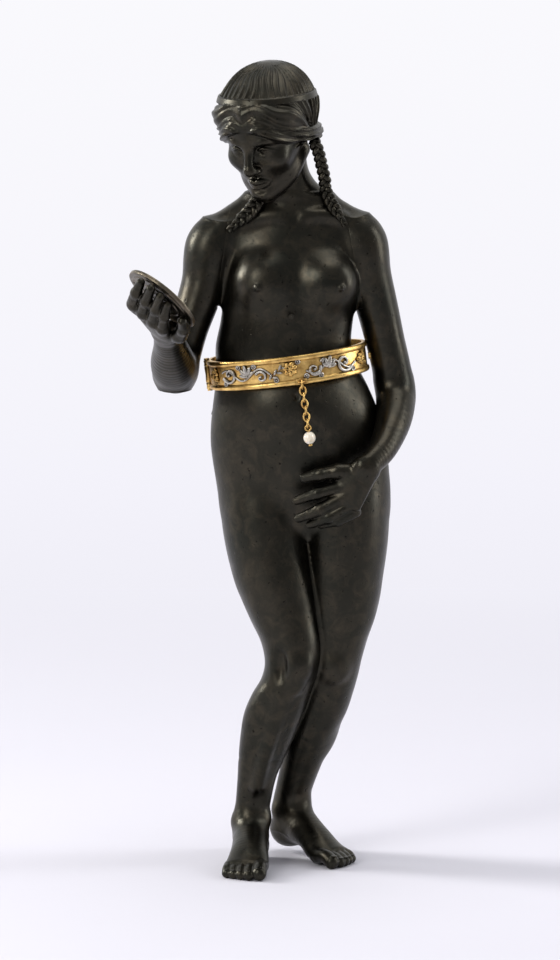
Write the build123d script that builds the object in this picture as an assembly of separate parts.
"""Bronze statuette of a standing woman with a hinged gilt girdle, a pearl pendant and a hand mirror.

The figure stands on z = 0 and looks along -Y; its right side is at -X. Lengths are in millimetres and
angles in degrees. The body is a hollow bronze casting around a clay core; the arms and the lower left leg
are separate castings on dowels. The girdle is two half bands on a hinge, closed by a tongue in a box.
"""

import math
import os

from build123d import *

# ---------------------------------------------------------------- driving dimensions
TORSO_Y = 14.5  # how far behind the origin the middle of the trunk stands
WALL = 3.0  # bronze wall around the clay core
CORE_GAP = 0.15  # shrinkage gap between the core and the bronze
ROD_RADIUS = 1.0  # iron armature rod
ROD_GAP = 0.05
ROD_X, ROD_Y, ROD_BOTTOM, ROD_TOP = 5.0, 1.0, 102.0, 206.0
CORE_BOTTOM, CORE_TOP = 112.0, 181.0  # of the hollow around the core
PIN_RADIUS = 0.5  # iron core pins
PIN_BITE = 2.0  # how far each core pin reaches into the clay
PLUG_RADIUS = 0.8  # bronze plugs that close the core pins' holes
PLUG_DEPTH = 1.4
PLUG_GAP = 0.02
DOWEL_RADIUS = 1.6  # dowels between the castings
DOWEL_GAP = 0.04
DOWEL_LENGTH = 14.0

BAND_HALF_WIDTH = 23.4  # girdle, outside of the band, to the wearer's left and right
BAND_HALF_DEPTH = 18.4  # the same, to the front and back
BAND_THICKNESS = 0.9
BAND_HEIGHT = 8.6
BAND_CENTRE = (4.0, 0.2, 150.2)
BAND_ROLL = 7.0  # the girdle's left end rides higher on the hip
BORDER_RADIUS = 0.45  # raised borders along the band's two edges
END_GAP = 0.1  # between the ends of the two half bands
HINGE_RADIUS = 0.95  # knuckles of the girdle's hinge
HINGE_PIN_RADIUS = 0.45
HINGE_HEAD_RADIUS, HINGE_HEAD_HEIGHT = 0.8, 0.5
HINGE_GAP = 0.05
HINGE_OFFSET = 0.4  # hinge axis outside the band's outer face
KNUCKLES = 3
KNUCKLE_GAP = 0.1
CLASP_GAP = 0.2  # clearance around the tongue in its box
TONGUE_LENGTH = 3.2
TONGUE_HEIGHT = 4.4
TONGUE_THICKNESS = 0.5
BOX_WALL = 0.5
STUD_RADIUS, STUD_HEIGHT = 1.0, 0.7  # knob on the clasp's box
RELIEF = 0.6  # height of the leaves, flowers and studs above the band
RELIEF_GAP = 0.02

WIRE = 0.6  # chain wire diameter
LINK_LENGTH = 3.2
LINK_WIDTH = 2.3
LINK_PLAY = 0.06
LINKS = 7
CHAIN_ANGLE = 8.8  # place of the pendant along the band, from its front
CHAIN_DROP = 3.4  # staple below the band's middle line
CHAIN_SLANT = 8.0  # the pendant hangs a little towards the left hip
STAPLE_LEG = 1.45
STAPLE_PLATE = (3.4, 1.6, 0.5)
STAPLE_SEAT = 0.15  # from the raised border to the flat plate at its middle
PEARL_RADIUS = 1.85
PEARL_PIN_RADIUS = 0.3
PEARL_PIN_GAP = 0.04
EYE_RADIUS = 0.75  # of the eye's centre line
PEARL_HEAD_RADIUS = 0.55

MIRROR_RADIUS = 11.9
MIRROR_THICKNESS = 1.4
MIRROR_RIM = 1.1
MIRROR_INSET = 0.9
MIRROR_GAP = 0.04
PLATE_THICKNESS = 0.6
PEG_RADIUS, PEG_LENGTH = 1.0, 3.2  # peg of the mirror in the palm
MIRROR_CENTRE = (-32.4, -39.0, 173.6)
MIRROR_NORMAL = (0.62, 0.33, 0.71)

HEAD_CENTRE = (-1.0, -1.6, 224.4)
HEAD_RADIUS = 15.6
FOREHEAD, CHIN = (-2.4, -4.6, -1.0), (-1.4, -11.6, -15.6)  # from the head's centre
BROW_RADIUS, CHIN_RADIUS = 11.0, 4.6

# Stations of each part of the body: x, y from the trunk's middle, z, half width, half depth.
TRUNK = [
    (4.6, 1.0, 206.0, 7.0, 7.2),
    (4.4, 1.2, 201.0, 12.0, 7.8),
    (3.6, 1.4, 196.0, 19.0, 8.8),
    (4.2, 1.4, 190.5, 21.6, 10.4),
    (4.8, 1.2, 184.5, 21.4, 12.0),
    (5.0, 0.6, 178.0, 20.4, 14.0),
    (4.6, 0.0, 169.5, 20.2, 15.4),
    (3.2, 0.2, 160.5, 20.0, 14.8),
    (2.8, 0.6, 153.0, 20.0, 14.6),
    (4.4, 0.4, 145.5, 21.0, 16.0),
    (5.4, 0.4, 138.5, 23.4, 17.2),
    (6.4, 0.4, 132.0, 25.6, 18.0),
    (7.6, 1.6, 120.0, 26.0, 18.4),
    (8.8, 2.0, 107.0, 22.5, 14.0),
]
RIGHT_LEG = [
    (-3.2, 1.6, 119.0, 14.2, 15.2),
    (-2.4, 1.0, 106.0, 13.8, 15.2),
    (0.6, -2.0, 88.0, 12.6, 13.4),
    (4.4, -6.0, 70.0, 9.4, 10.6),
    (5.0, -7.6, 60.0, 7.8, 9.0),
    (1.4, -5.0, 47.0, 8.8, 9.4),
    (-3.0, -1.6, 32.0, 7.4, 7.8),
    (-6.0, 1.2, 18.0, 5.5, 6.2),
    (-7.0, 2.0, 8.0, 5.2, 6.6),
]
LEFT_THIGH = [
    (20.2, 2.0, 119.0, 14.2, 15.2),
    (20.6, 2.0, 106.0, 13.8, 15.2),
    (20.6, 1.4, 88.0, 12.4, 13.0),
    (19.6, 0.4, 70.0, 9.6, 10.0),
    (18.0, 0.6, 58.0, 7.8, 8.6),
    (16.6, 2.4, 49.0, 7.4, 8.4),
]
LEFT_SHIN = [
    (18.0, 0.6, 58.0, 7.8, 8.6),
    (16.6, 2.6, 48.0, 7.6, 8.6),
    (11.4, 8.0, 34.0, 6.6, 7.4),
    (6.6, 13.4, 20.0, 5.4, 6.0),
    (4.6, 15.6, 11.0, 5.0, 6.0),
]
SEAM_Z = 53.5  # joint between the left thigh and the lower left leg
RIGHT_UPPER_ARM = [
    (-11.0, 1.6, 192.6, 6.6, 7.6),
    (-17.2, 1.6, 187.4, 8.0, 8.2),
    (-21.2, 1.0, 173.0, 6.8, 7.6),
    (-26.8, -0.4, 158.0, 6.1, 7.0),
    (-29.4, -2.0, 147.5, 6.1, 6.8),
]
RIGHT_FOREARM = [
    (-29.6, 1.0, 148.0, 6.4, 6.4),
    (-29.8, -8.0, 151.0, 6.8, 6.6),
    (-29.6, -20.0, 157.6, 5.6, 5.4),
    (-30.2, -31.0, 163.4, 4.2, 3.8),
]
LEFT_UPPER_ARM = [
    (19.6, 1.8, 194.0, 6.4, 7.6),
    (25.2, 2.0, 188.6, 7.4, 8.2),
    (29.0, 2.4, 171.5, 6.7, 7.6),
    (32.8, 3.4, 157.0, 6.0, 7.0),
    (35.3, 3.8, 144.5, 5.9, 6.6),
]
LEFT_FOREARM = [
    (35.5, 5.0, 145.0, 5.8, 6.0),
    (35.8, -2.0, 138.5, 5.5, 6.0),
    (33.8, -12.0, 130.0, 4.8, 4.8),
    (28.6, -20.5, 122.0, 4.2, 3.2),
]
ARM_SEAMS = {"right": ((-13.4, 196.0), (-17.4, 168.0)), "left": ((20.6, 198.0), (26.2, 168.0))}
ARMPIT_Z = 170.0  # below this height the whole arm is one casting
LEFT_BRAID = [(13.2, 0.4, 212.0), (14.6, -1.0, 206.0), (16.2, -3.4, 200.4), (18.6, -6.6, 195.6), (21.0, -9.0, 191.6)]
RIGHT_BRAID = [(-2.6, -7.2, 205.0), (-4.8, -8.0, 201.0), (-7.6, -9.0, 197.0), (-10.6, -9.4, 193.4)]
BRAID_RADIUS, BRAID_TIP = 3.0, 2.0
SEAT_GAP = 0.1  # between castings where they touch
GIRDLE_ROOM = 0.7  # from the band's face to the arm that was filed to let the girdle pass
GIRDLE_LIFT = 3.0  # how far the girdle can ride up the waist


def point(x, y, z):
    """A point given from the middle of the trunk."""
    return Vector(x, TORSO_Y + y, z)


def tangents(centres):
    """The direction of a path at each of its points."""
    found = []
    for i in range(len(centres)):
        before = centres[max(i - 1, 0)]
        after = centres[min(i + 1, len(centres) - 1)]
        found.append((after - before).normalized())
    return found


def between(before, start, end, after, share):
    """Catmull-Rom blend from start to end for one number of a station."""
    slope_in, slope_out = (end - before) / 2, (after - start) / 2
    s2, s3 = share * share, share**3
    return (
        start * (2 * s3 - 3 * s2 + 1) + slope_in * (s3 - 2 * s2 + share)
        + end * (3 * s2 - 2 * s3) + slope_out * (s3 - s2)
    )


def fair(stations, steps=2):
    """The stations with evenly blended ones between them, so that a loft through them doesn't overshoot."""
    found = []
    for i in range(len(stations) - 1):
        four = [stations[min(max(k, 0), len(stations) - 1)] for k in range(i - 1, i + 3)]
        for step in range(steps):
            found.append(tuple(between(*numbers, step / steps) for numbers in zip(*four)))
    return found + [stations[-1]]


def limb(stations, grow=0.0, level=False):
    """A smooth solid through elliptical sections; level keeps the sections horizontal."""
    stations = fair(stations)
    centres = [point(*s[:3]) for s in stations]
    sections = []
    for centre, direction, station in zip(centres, tangents(centres), stations):
        normal = Vector(0, 0, -1) if level else direction
        across = Vector(1, 0, 0)
        across = (across - normal * across.dot(normal)).normalized()
        plane = Plane(origin=centre, x_dir=across, z_dir=normal)
        sections.append(plane * Ellipse(station[3] + grow, station[4] + grow))
    return loft(sections)


def capsule(start, end, r_start, r_end):
    """A round-ended, tapered finger between two points."""
    start, end = Vector(start), Vector(end)
    length = (end - start).length
    outline = Polyline((0, length + r_end), (0, -r_start)) + CenterArc((0, 0), r_start, -90, 90)
    outline += Line((r_start, 0), (r_end, length)) + CenterArc((0, length), r_end, 0, 90)
    body = revolve(make_face(outline), Axis.Y)
    frame = Plane(origin=start, z_dir=(end - start).normalized())
    return frame * (Rot(90, 0, 0) * body)


def ball(centre, radius):
    return Pos(*centre) * Sphere(radius)


def rod(start, end, radius):
    """A plain cylinder between two points."""
    start, end = Vector(start), Vector(end)
    frame = Plane(origin=start, z_dir=(end - start).normalized())
    height = (end - start).length
    return frame * Cylinder(radius, height, align=(Align.CENTER, Align.CENTER, Align.MIN))


def only(shape):
    """The largest solid of a result, as one part."""
    return max(shape.solids(), key=lambda s: s.volume)


# ---------------------------------------------------------------- feet and hands
FOOT_HEIGHT = 9.0


def foot(heel, toe, width, lift):
    """A foot from heel to toe, flat underneath; lift raises the heel."""
    heel, toe = point(*heel, 0), point(*toe, 0)
    along = (toe - heel).normalized()
    across = Vector(-along.Y, along.X, 0)
    length = (toe - heel).length
    sections = []
    for share, half_width, height in (
        (-0.1, 0.55, 6.0),
        (0.08, 0.72, 9.6),
        (0.3, 0.74, 12.0),
        (0.55, 0.86, 8.4),
        (0.78, 1.0, 5.6),
        (1.02, 0.82, 3.8),
    ):
        rise = lift * max(0.0, 1.0 - share / 0.7)
        centre = heel + along * (length * share) + Vector(0, 0, rise)
        plane = Plane(origin=centre, x_dir=across, z_dir=along)
        sections.append(plane * Ellipse(half_width * width, height))
    return loft(sections)


def grounded(shape, size=400):
    """What is above the floor."""
    floor = Pos(0, 0, -size / 2) * Box(size, size, size)
    return shape - floor


def heel_clearance(heel, toe, lift):
    """The wedge under a raised heel, to be cut from its foot."""
    heel, toe = point(*heel, 0), point(*toe, 0)
    along = (toe - heel).normalized()
    length = (toe - heel).length
    side = Vector(-along.Y, along.X, 0)
    plane = Plane(origin=heel - along * (length * 0.5), x_dir=along, z_dir=-side)
    reach = length * 1.15
    outline = Polyline((0, -20), (reach, -20), (reach, 0), (0, lift * reach / (length * 0.65)), close=True)
    return extrude(plane * make_face(outline), 30, both=True)


RIGHT_HEEL, RIGHT_TOE = (-6.4, 5.0), (-9.0, -25.6)
LEFT_HEEL, LEFT_TOE = (4.2, 17.6), (20.0, -2.6)
FOOT_WIDTH = 6.6
HEEL_LIFT = 3.0

RIGHT_WRIST = (-30.2, -31.0, 163.4)
LEFT_WRIST = (28.6, -20.5, 122.0)


def right_hand():
    """The hand under the mirror, its fingers up behind the disc."""
    hand = limb([(*RIGHT_WRIST, 4.2, 3.6), (-32.0, -34.0, 165.6, 5.0, 3.0), (-34.4, -37.2, 167.6, 4.6, 2.0)])
    for i in range(4):
        root = point(-33.0 + 0.8 * i, -33.0 - 1.7 * i, 165.8 + 0.3 * i)
        knuckle = point(-36.6 + 1.4 * i, -34.0 - 2.7 * i, 167.0 + 0.5 * i)
        tip = knuckle + Vector(-1.2, 0.6, 8.4 - 0.7 * i)
        hand += capsule(root, knuckle, 1.9 + 0.03 * i, 1.61)
        hand += capsule(knuckle, tip, 1.55, 1.2)
    hand += capsule(point(-30.6, -32.4, 164.4), point(-25.8, -38.6, 165.0), 2.2, 1.6)
    return hand


def left_hand():
    """The hand laid across the lap, fingers towards the right."""
    hand = limb([(*LEFT_WRIST, 4.2, 3.0), (24.6, -21.4, 118.4, 5.4, 2.5), (21.0, -21.8, 115.0, 4.8, 2.0)])
    for i in range(4):
        root = point(21.8 + 0.6 * i, -21.6, 117.8 - 1.7 * i)
        knuckle = point(18.4 + 1.0 * i, -22.0, 116.6 - 2.7 * i)
        tip = knuckle + Vector(-10.6 + 1.0 * i, 0.6, -6.4 - 0.2 * i)
        hand += capsule(root, knuckle, 1.9 + 0.03 * i, 1.71)
        hand += capsule(knuckle, tip, 1.65, 1.15)
    hand += capsule(point(25.6, -21.0, 120.6), point(10.4, -21.8, 121.4), 2.0, 1.3)
    return hand


# ---------------------------------------------------------------- the castings
def seam_plane(side):
    """The plane where an arm meets the shoulder, facing away from the body."""
    (top_x, top_z), (low_x, low_z) = ARM_SEAMS[side]
    normal = Vector(top_z - low_z, 0, low_x - top_x) * (1 if side == "left" else -1)
    return Plane(origin=point(top_x, 0, top_z), z_dir=normal.normalized())


def head():
    """Head with its cap of hair, leaning towards the right shoulder."""
    centre = point(*HEAD_CENTRE)
    skull = ball(centre, HEAD_RADIUS)
    face = capsule(centre + Vector(*FOREHEAD), centre + Vector(*CHIN), BROW_RADIUS, CHIN_RADIUS)
    neck = limb([(4.8, 1.8, 194.0, 7.2, 7.6), (4.4, 0.8, 204.0, 6.6, 7.0), (2.2, -0.8, 215.0, 7.0, 7.6)])
    return skull + face + neck


def braid(places, grow=0.0):
    """A plait of hair as a row of overlapping beads, largest at the top."""
    plait = None
    for i in range(len(places) - 1):
        radius = BRAID_RADIUS + (BRAID_TIP - BRAID_RADIUS) * i / (len(places) - 2) + grow
        bead = capsule(point(*places[i]), point(*places[i + 1]), radius, radius * 0.9)
        plait = bead if plait is None else plait + bead
    return plait


def dowel_ends(centre, direction):
    half = Vector(*direction).normalized() * (DOWEL_LENGTH / 2)
    return point(*centre) - half, point(*centre) + half


DOWELS = {
    "right_arm_dowel": dowel_ends((-14.8, 2.0, 186.0), (-1, 0, -0.2)),
    "left_arm_dowel": dowel_ends((22.6, 2.0, 187.0), (1, 0, -0.2)),
    "left_leg_dowel": dowel_ends((17.3, 1.5, SEAM_Z), (0.15, -0.2, 1)),
}


def cut_dowels(casting, names):
    """The casting with a blind hole for each of its dowels."""
    for name in names:
        start, end = DOWELS[name]
        spare = (end - start).normalized() * DOWEL_GAP
        casting = casting - rod(start - spare, end + spare, DOWEL_RADIUS + DOWEL_GAP)
    return casting


def trunk_within(grow):
    """The trunk between the arms' seams, grown or shrunk all over."""
    trunk = limb(TRUNK, grow=grow, level=True)
    for side in ("right", "left"):
        trunk = only(split(trunk, seam_plane(side).offset(grow), keep=Keep.BOTTOM))
    return trunk


def core_shape(grow):
    """The space that the clay core fills, from the crotch to the collar."""
    space = trunk_within(grow)
    shrink = grow + WALL
    low, high = CORE_BOTTOM - shrink, CORE_TOP + shrink
    middle = Pos(0, TORSO_Y, (low + high) / 2)
    return only(space & (middle * Box(100, 100, high - low)))


def parted_arm(stations, side):
    """An upper arm in two: the shoulder, cast with the body, and what is cast with the forearm."""
    upper = limb(stations)
    inner = split(upper, seam_plane(side), keep=Keep.BOTTOM)
    armpit = Plane(origin=(0, 0, ARMPIT_Z))
    shoulder = split(inner, armpit, keep=Keep.TOP)
    arm = split(upper, seam_plane(side), keep=Keep.TOP) + split(inner, armpit, keep=Keep.BOTTOM)
    return shoulder, arm


def girdle_room():
    """What the girdle needs free to pass the left arm, over the whole of its lift."""
    oval = Ellipse(BAND_HALF_WIDTH + GIRDLE_ROOM, BAND_HALF_DEPTH + GIRDLE_ROOM)
    height = BAND_HEIGHT + GIRDLE_LIFT + 2 * GIRDLE_ROOM
    return girdle_plane() * Pos(0, 0, -BAND_HEIGHT / 2 - GIRDLE_ROOM) * extrude(oval, height)


def solid_castings():
    """The four bronze castings of the figure, with no core and no holes."""
    right_in, right_out = parted_arm(RIGHT_UPPER_ARM, "right")
    left_in, left_out = parted_arm(LEFT_UPPER_ARM, "left")
    thigh = split(limb(LEFT_THIGH), Plane(origin=(0, 0, SEAM_Z)), keep=Keep.TOP)
    shin = split(limb(LEFT_SHIN), Plane(origin=(0, 0, SEAM_Z)), keep=Keep.BOTTOM)
    body = trunk_within(0.0) + right_in + left_in + thigh + limb(RIGHT_LEG)
    body = body + foot(RIGHT_HEEL, RIGHT_TOE, FOOT_WIDTH, 0.0) + head()
    body = body + braid(RIGHT_BRAID) + braid(LEFT_BRAID)
    shin = shin + foot(LEFT_HEEL, LEFT_TOE, FOOT_WIDTH, HEEL_LIFT)
    shin = grounded(shin) - heel_clearance(LEFT_HEEL, LEFT_TOE, HEEL_LIFT)
    seats = limb(TRUNK, grow=SEAT_GAP, level=True)
    shin = shin - limb(RIGHT_LEG, grow=SEAT_GAP)
    right_elbow, left_elbow = point(-29.5, -0.6, 147.8), point(35.5, 4.4, 144.6)
    right_arm = right_out + ball(right_elbow, 6.2) + limb(RIGHT_FOREARM) + right_hand()
    left_arm = left_out + ball(left_elbow, 5.9) + limb(LEFT_FOREARM) + left_hand()
    return {
        "body_casting": only(grounded(body)),
        "lower_left_leg": only(shin),
        "right_arm": only(right_arm - seats),
        "left_arm": only(left_arm - seats - braid(LEFT_BRAID, grow=SEAT_GAP) - girdle_room()),
    }


# ---------------------------------------------------------------- what the founder left inside
PIN_PLACES = [  # a point on the trunk's middle line and the way out
    ((3.0, 1.0, 136.0), (-1, 0, 0)),
    ((6.0, 1.0, 134.0), (1, 0, 0)),
    ((5.0, 0.0, 174.0), (0, 1, 0)),
    ((5.0, 0.0, 166.0), (0, -1, 0)),
]


def pin_rods(radius):
    """Rods of one radius along all the core pins."""
    rods = []
    for place, way in PIN_PLACES:
        start = point(*place)
        rods.append(rod(start, start + Vector(*way) * 40, radius))
    return rods


def foundry_parts(body):
    """The hollowed body casting with its core, rod, pins and plugs."""
    under_plugs = trunk_within(-PLUG_DEPTH)
    core = core_shape(-(WALL + CORE_GAP))
    inner_core = core_shape(-(WALL + CORE_GAP + PIN_BITE))
    rod_ends = point(ROD_X, ROD_Y, ROD_BOTTOM), point(ROD_X, ROD_Y, ROD_TOP)
    rod_hole = rod(rod_ends[0] - Vector(0, 0, ROD_GAP), rod_ends[1] + Vector(0, 0, ROD_GAP), ROD_RADIUS + ROD_GAP)
    plugs, pins = [], []
    hollow = body - core_shape(-WALL) - rod_hole
    core = core - rod_hole
    shapes = zip(pin_rods(PLUG_RADIUS), pin_rods(PLUG_RADIUS + PLUG_GAP), pin_rods(PIN_RADIUS))
    for plug, plug_hole, pin in shapes:
        plugs.append(only((plug & body) - under_plugs))
        pins.append(only((pin & trunk_within(-PLUG_DEPTH - PLUG_GAP)) - inner_core))
        hollow = hollow - (plug_hole - under_plugs)
    for pin_hole in pin_rods(PIN_RADIUS + PLUG_GAP):
        hollow = hollow - (pin_hole & under_plugs)
        core = core - (pin_hole - inner_core)
    return {
        "body_casting": only(hollow),
        "clay_core": only(core),
        "core_rod": rod(*rod_ends, ROD_RADIUS),
        "core_pins": Compound(pins),
        "core_plugs": Compound(plugs),
    }


# ---------------------------------------------------------------- the mirror
def mirror_plane():
    return Plane(origin=point(*MIRROR_CENTRE), x_dir=(0, 1, 0), z_dir=Vector(*MIRROR_NORMAL).normalized())


def disc(radius, low, high, place=(0, 0)):
    """A disc or peg square to the mirror, between two heights over its middle plane."""
    height = high - low
    return mirror_plane() * (Pos(*place, (low + high) / 2) * Cylinder(radius, height))


PEG_PLACE = (2.0, -5.0)
BACK_FACE = -MIRROR_THICKNESS / 2
FRONT_FACE = MIRROR_THICKNESS / 2


def mirror_parts():
    """The mirror's dished back with its peg, and its polished plate."""
    recess_radius = MIRROR_RADIUS - MIRROR_RIM
    floor = FRONT_FACE - MIRROR_INSET
    back = disc(MIRROR_RADIUS, BACK_FACE, FRONT_FACE) - disc(recess_radius, floor, FRONT_FACE + 1)
    back = back + disc(PEG_RADIUS, BACK_FACE - PEG_LENGTH, BACK_FACE + 0.2, PEG_PLACE)
    plate = disc(recess_radius - MIRROR_GAP, floor + MIRROR_GAP, floor + MIRROR_GAP + PLATE_THICKNESS)
    return {"mirror_back": only(back), "mirror_plate": plate}


def cut_mirror(arm):
    """The arm with the mirror's seat and the hole for its peg."""
    seat = disc(MIRROR_RADIUS + MIRROR_GAP, BACK_FACE - MIRROR_GAP, FRONT_FACE + 12)
    peg_hole = disc(PEG_RADIUS + MIRROR_GAP, BACK_FACE - PEG_LENGTH - MIRROR_GAP, BACK_FACE, PEG_PLACE)
    return only(arm - seat - peg_hole)


# ---------------------------------------------------------------- the girdle
def girdle_plane():
    roll = math.radians(BAND_ROLL)
    across = Vector(math.cos(roll), 0, math.sin(roll))
    up = Vector(-math.sin(roll), 0, math.cos(roll))
    return Plane(origin=point(*BAND_CENTRE), x_dir=across, z_dir=up)


def oval_ring(outside, inside, height):
    """An oval tube around the body, given from the band's outer face; positive is outwards."""
    tube = None
    for margin in (outside, inside):
        oval = extrude(Ellipse(BAND_HALF_WIDTH + margin, BAND_HALF_DEPTH + margin), height / 2, both=True)
        tube = oval if tube is None else tube - oval
    return tube


def border(height):
    """The raised border at one height, as an oval of round wire half sunk in the band."""
    path = Ellipse(BAND_HALF_WIDTH, BAND_HALF_DEPTH).edge()
    start = Plane(origin=(BAND_HALF_WIDTH, 0, 0), z_dir=(0, 1, 0))
    return Pos(0, 0, height) * sweep(start * Circle(BORDER_RADIUS), path=path)


def half_space(front):
    """The block that holds one half band, with half of the gap between the two."""
    depth = 60
    middle = depth / 2 + END_GAP / 2
    return Pos(0, -middle if front else middle, 0) * Box(120, depth, 60)


HINGE_X = -(BAND_HALF_WIDTH + HINGE_OFFSET)
CLASP_X = BAND_HALF_WIDTH - BAND_THICKNESS / 2
BOX_THICKNESS = TONGUE_THICKNESS + 2 * (CLASP_GAP + BOX_WALL)
BOX_HEIGHT = TONGUE_HEIGHT + 2 * (CLASP_GAP + BOX_WALL)
BOX_LENGTH = TONGUE_LENGTH + CLASP_GAP + BOX_WALL


def knuckle(index, radius, spare=0.0):
    """One knuckle of the hinge, counted from below."""
    pitch = BAND_HEIGHT / KNUCKLES
    height = pitch - KNUCKLE_GAP + 2 * spare
    middle = (index + 0.5) * pitch - BAND_HEIGHT / 2
    return Pos(HINGE_X, 0, middle) * Cylinder(radius, height)


def girdle_halves():
    """The front and back half bands, in the girdle's own frame."""
    ring = oval_ring(0, -BAND_THICKNESS, BAND_HEIGHT)
    for side in (-1, 1):
        ring = ring + border(side * (BAND_HEIGHT / 2 - BORDER_RADIUS))
    front, back = ring & half_space(True), ring & half_space(False)
    for index in range(KNUCKLES):
        own, other = (back, front) if index % 2 else (front, back)
        own = own + knuckle(index, HINGE_RADIUS)
        other = other - knuckle(index, HINGE_RADIUS + KNUCKLE_GAP, KNUCKLE_GAP)
        front, back = (other, own) if index % 2 else (own, other)
    pin_hole = Pos(HINGE_X, 0, 0) * Cylinder(HINGE_PIN_RADIUS + HINGE_GAP, BAND_HEIGHT + 4)
    front, back = front - pin_hole, back - pin_hole
    box = Box(BOX_THICKNESS, BOX_LENGTH, BOX_HEIGHT)
    slot = Box(TONGUE_THICKNESS + 2 * CLASP_GAP, TONGUE_LENGTH + CLASP_GAP + 1, TONGUE_HEIGHT + 2 * CLASP_GAP)
    tongue = Box(TONGUE_THICKNESS, TONGUE_LENGTH + 1, TONGUE_HEIGHT)
    front = front + Pos(CLASP_X, -END_GAP / 2 - BOX_LENGTH / 2, 0) * box
    front = front - Pos(CLASP_X, 0.5 - (TONGUE_LENGTH + CLASP_GAP) / 2, 0) * slot
    back = back + Pos(CLASP_X, 0.5 - TONGUE_LENGTH / 2, 0) * tongue
    return only(front), only(back)


def band_frame(angle, height):
    """The frame on the band's outer face, angle from its front towards the left hip, z outwards."""
    turn = math.radians(angle)
    sine, cosine = math.sin(turn), math.cos(turn)
    place = Vector(BAND_HALF_WIDTH * sine, -BAND_HALF_DEPTH * cosine, height)
    out = Vector(sine / BAND_HALF_WIDTH, -cosine / BAND_HALF_DEPTH, 0).normalized()
    return Plane(origin=place, x_dir=Vector(0, 0, 1).cross(out), z_dir=out)


def applique(pegs):
    """Ornament on the band: the part of a thin shell that lies within a group of radial pegs."""
    shell = oval_ring(RELIEF_GAP + RELIEF, RELIEF_GAP, BAND_HEIGHT)
    group = None
    for angle, height, radius in pegs:
        peg = band_frame(angle, height) * Cylinder(radius, 3)
        group = peg if group is None else group + peg
    return (shell & group).solids()


def scroll_place(side, share):
    """Angle and height on the band of a point a share of the way along a scroll."""
    angle = CHAIN_ANGLE * (1 - share) + side * (SCROLL_START + (SCROLL_END - SCROLL_START) * share)
    return angle, SCROLL_SWING * math.sin(share * SCROLL_WAVES * 2 * math.pi)


def scroll(side):
    """A running scroll of leaves, from beside the rosette to the flowers at the hip."""
    shares = [i / (SCROLL_LEAVES - 1) for i in range(SCROLL_LEAVES)]
    return applique([(*scroll_place(side, share), SCROLL_LEAF) for share in shares])


def flower(angle, petal, ring_radius):
    """A flower of six petals around a boss."""
    pegs = [(angle, 0, petal)]
    degrees_per_mm = 180 / math.pi / BAND_HALF_WIDTH
    for i in range(6):
        turn = i * math.pi / 3
        pegs.append((angle + ring_radius * math.cos(turn) * degrees_per_mm, ring_radius * math.sin(turn), petal))
    return applique(pegs)


SCROLL_START, SCROLL_END = 14.0, 55.0
SCROLL_SWING, SCROLL_WAVES = 1.7, 1.5
SCROLL_LEAF, SCROLL_LEAVES = 0.95, 15
ROSETTE_PETAL, ROSETTE_RING = 0.85, 1.35
FLOWER_PETAL, FLOWER_RING = 0.95, 1.6
FLOWER_ANGLE = 66.0
STUD_SHARES = (0.2, 0.8)  # places of the small studs along a scroll
STUD_DROP = 3.2  # below the scroll's wave
BAND_STUD = 0.6


def girdle_parts():
    """The two half bands with their hinge pin, clasp and ornaments."""
    frame = girdle_plane()
    front, back = girdle_halves()
    head_height = BAND_HEIGHT / 2 + KNUCKLE_GAP / 2
    pin = Pos(HINGE_X, 0, 0) * Cylinder(HINGE_PIN_RADIUS, 2 * head_height)
    for side in (-1, 1):
        head_place = Pos(HINGE_X, 0, side * (head_height + HINGE_HEAD_HEIGHT / 2))
        pin = pin + head_place * Cylinder(HINGE_HEAD_RADIUS, HINGE_HEAD_HEIGHT)
    stud_x = CLASP_X + BOX_THICKNESS / 2 + RELIEF_GAP
    stud_frame = Plane(origin=(stud_x, -END_GAP / 2 - BOX_LENGTH / 2, 0), z_dir=(1, 0, 0))
    knob = stud_frame * (Pos(0, 0, STUD_HEIGHT / 2) * Cylinder(STUD_RADIUS, STUD_HEIGHT))
    studs = []
    for side in (-1, 1):
        for share in STUD_SHARES:
            angle, height = scroll_place(side, share)
            studs += applique([(angle, height - STUD_DROP, BAND_STUD)])
    rosette = flower(CHAIN_ANGLE, ROSETTE_PETAL, ROSETTE_RING)
    found = {
        "belt_front_band": front,
        "belt_back_band": back,
        "belt_hinge_pin": pin,
        "clasp_stud": knob,
        "belt_scroll_right": Compound(scroll(-1)),
        "belt_scroll_left": Compound(scroll(1)),
        "belt_flower_right": Compound(flower(-FLOWER_ANGLE, FLOWER_PETAL, FLOWER_RING)),
        "belt_flower_left": Compound(flower(FLOWER_ANGLE + 5, FLOWER_PETAL, FLOWER_RING)),
        "belt_rosette": Compound(rosette),
        "belt_studs": Compound(studs),
    }
    return {name: frame * piece for name, piece in found.items()}


# ---------------------------------------------------------------- chain and pearl
BOW_RADIUS = (LINK_WIDTH - WIRE) / 2  # centre line of a link's round end
BOW_REACH = LINK_LENGTH / 2 - WIRE / 2  # from a link's middle to its end's centre line
CONTACT = WIRE + LINK_PLAY  # between the centre lines of two crossing wires
PITCH = 2 * BOW_REACH - CONTACT


def half_ring(radius, wire, degrees=180):
    """A bent wire around z, from +X through +Y."""
    return revolve(Plane.XZ * (Pos(radius, 0) * Circle(wire)), Axis.Z, degrees)


def link_shape():
    """One link standing in the XY plane, its length along Y."""
    straight = BOW_REACH - BOW_RADIUS
    link = Pos(0, straight, 0) * half_ring(BOW_RADIUS, WIRE / 2)
    link = link + Pos(0, -straight, 0) * (Rot(0, 0, 180) * half_ring(BOW_RADIUS, WIRE / 2))
    for side in (-1, 1):
        link = link + rod((side * BOW_RADIUS, -straight, 0), (side * BOW_RADIUS, straight, 0), WIRE / 2)
    return link


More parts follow.
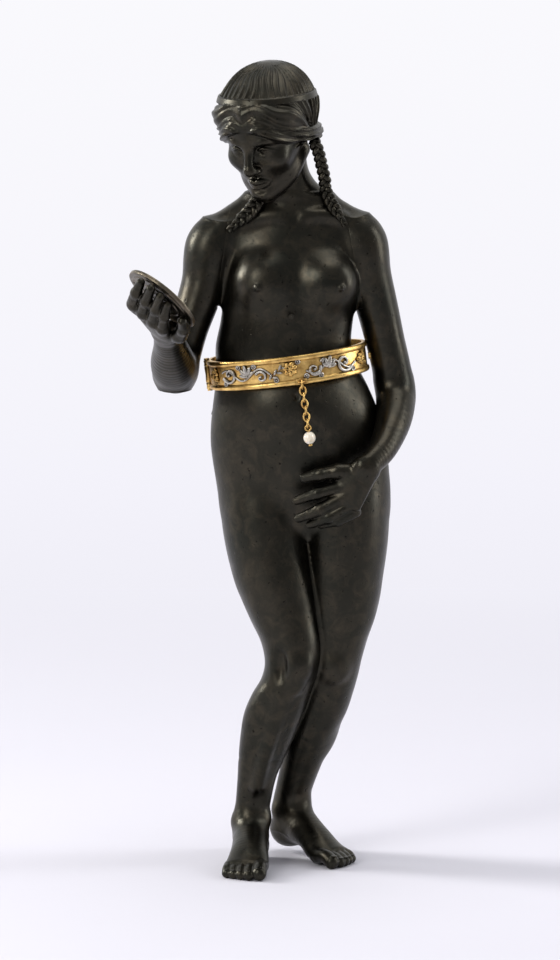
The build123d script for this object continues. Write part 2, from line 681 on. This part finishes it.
def chain_start():
    """The foremost point of the staple's wire, and the chain's directions: down, across and out."""
    girdle = girdle_plane()
    place = band_frame(CHAIN_ANGLE, -CHAIN_DROP).origin
    slant = math.radians(CHAIN_SLANT)
    down = Vector(math.sin(slant), 0, -math.cos(slant))
    across = Vector(math.cos(slant), 0, math.sin(slant))
    out = Vector(0, -1, 0)
    return girdle.from_local_coords(place) + out * (STAPLE_LEG + BOW_RADIUS), down, across, out


def chain_parts():
    """The staple, the links and the pearl on its pin."""
    start, down, across, out = chain_start()
    foot_place = start - out * (STAPLE_LEG + BOW_RADIUS)
    staple_frame = Plane(origin=start - out * BOW_RADIUS, x_dir=across, z_dir=across.cross(out))
    staple = staple_frame * half_ring(BOW_RADIUS, WIRE / 2)
    for side in (-1, 1):
        leg = across * (side * BOW_RADIUS)
        staple = staple + rod(foot_place + leg + out * 0.2, foot_place + leg + out * STAPLE_LEG, WIRE / 2)
    plate_frame = Plane(origin=foot_place + out * (BORDER_RADIUS + STAPLE_SEAT), x_dir=across, z_dir=out)
    width, height, depth = STAPLE_PLATE
    staple = staple + plate_frame * (Pos(0, 0, depth / 2) * Box(width, height, depth))
    in_front = plate_frame * (Pos(0, 0, 10) * Box(40, 40, 20))
    found = {"chain_staple": only(staple & in_front)}
    centre = start + down * (BOW_REACH - CONTACT)
    for i in range(LINKS):
        flat = out if i % 2 == 0 else across
        frame = Plane(origin=centre, x_dir=flat, z_dir=flat.cross(-down))
        found[f"link_{i + 1}"] = frame * link_shape()
        centre = centre + down * PITCH
    flat = out if LINKS % 2 == 0 else across
    eye = centre + down * (EYE_RADIUS - BOW_REACH)
    eye_frame = Plane(origin=eye, x_dir=flat, z_dir=flat.cross(-down))
    pearl_centre = eye + down * (EYE_RADIUS + PEARL_PIN_RADIUS + PEARL_RADIUS)
    pearl_end = pearl_centre + down * PEARL_RADIUS
    pin = eye_frame * Torus(EYE_RADIUS, PEARL_PIN_RADIUS)
    pin = pin + rod(eye + down * EYE_RADIUS, pearl_end, PEARL_PIN_RADIUS)
    pin = pin + rod(pearl_end + down * 0.05, pearl_end + down * PEARL_HEAD_RADIUS, PEARL_HEAD_RADIUS)
    pin = pin + rod(pearl_end, pearl_end + down * 0.1, PEARL_PIN_RADIUS)
    hole = rod(eye, pearl_end + down, PEARL_PIN_RADIUS + PEARL_PIN_GAP)
    found["pearl"] = only(ball(pearl_centre, PEARL_RADIUS) - hole)
    found["pearl_pin"] = only(pin)
    return found


def make_all():
    """Every piece of the statuette, by node name."""
    solids = solid_castings()
    inside = foundry_parts(solids["body_casting"])
    inside["body_casting"] = cut_dowels(inside["body_casting"], DOWELS)
    solids.update(inside)
    solids["lower_left_leg"] = cut_dowels(solids["lower_left_leg"], ["left_leg_dowel"])
    solids["right_arm"] = cut_mirror(cut_dowels(solids["right_arm"], ["right_arm_dowel"]))
    solids["left_arm"] = cut_dowels(solids["left_arm"], ["left_arm_dowel"])
    for name, ends in DOWELS.items():
        solids[name] = rod(*ends, DOWEL_RADIUS)
    solids.update(mirror_parts())
    solids.update(girdle_parts())
    solids.update(chain_parts())
    return solids


if __name__ == "__main__":
    os.makedirs("parts", exist_ok=True)
    for name, solid in make_all().items():
        export_step(solid, f"parts/{name}.step")
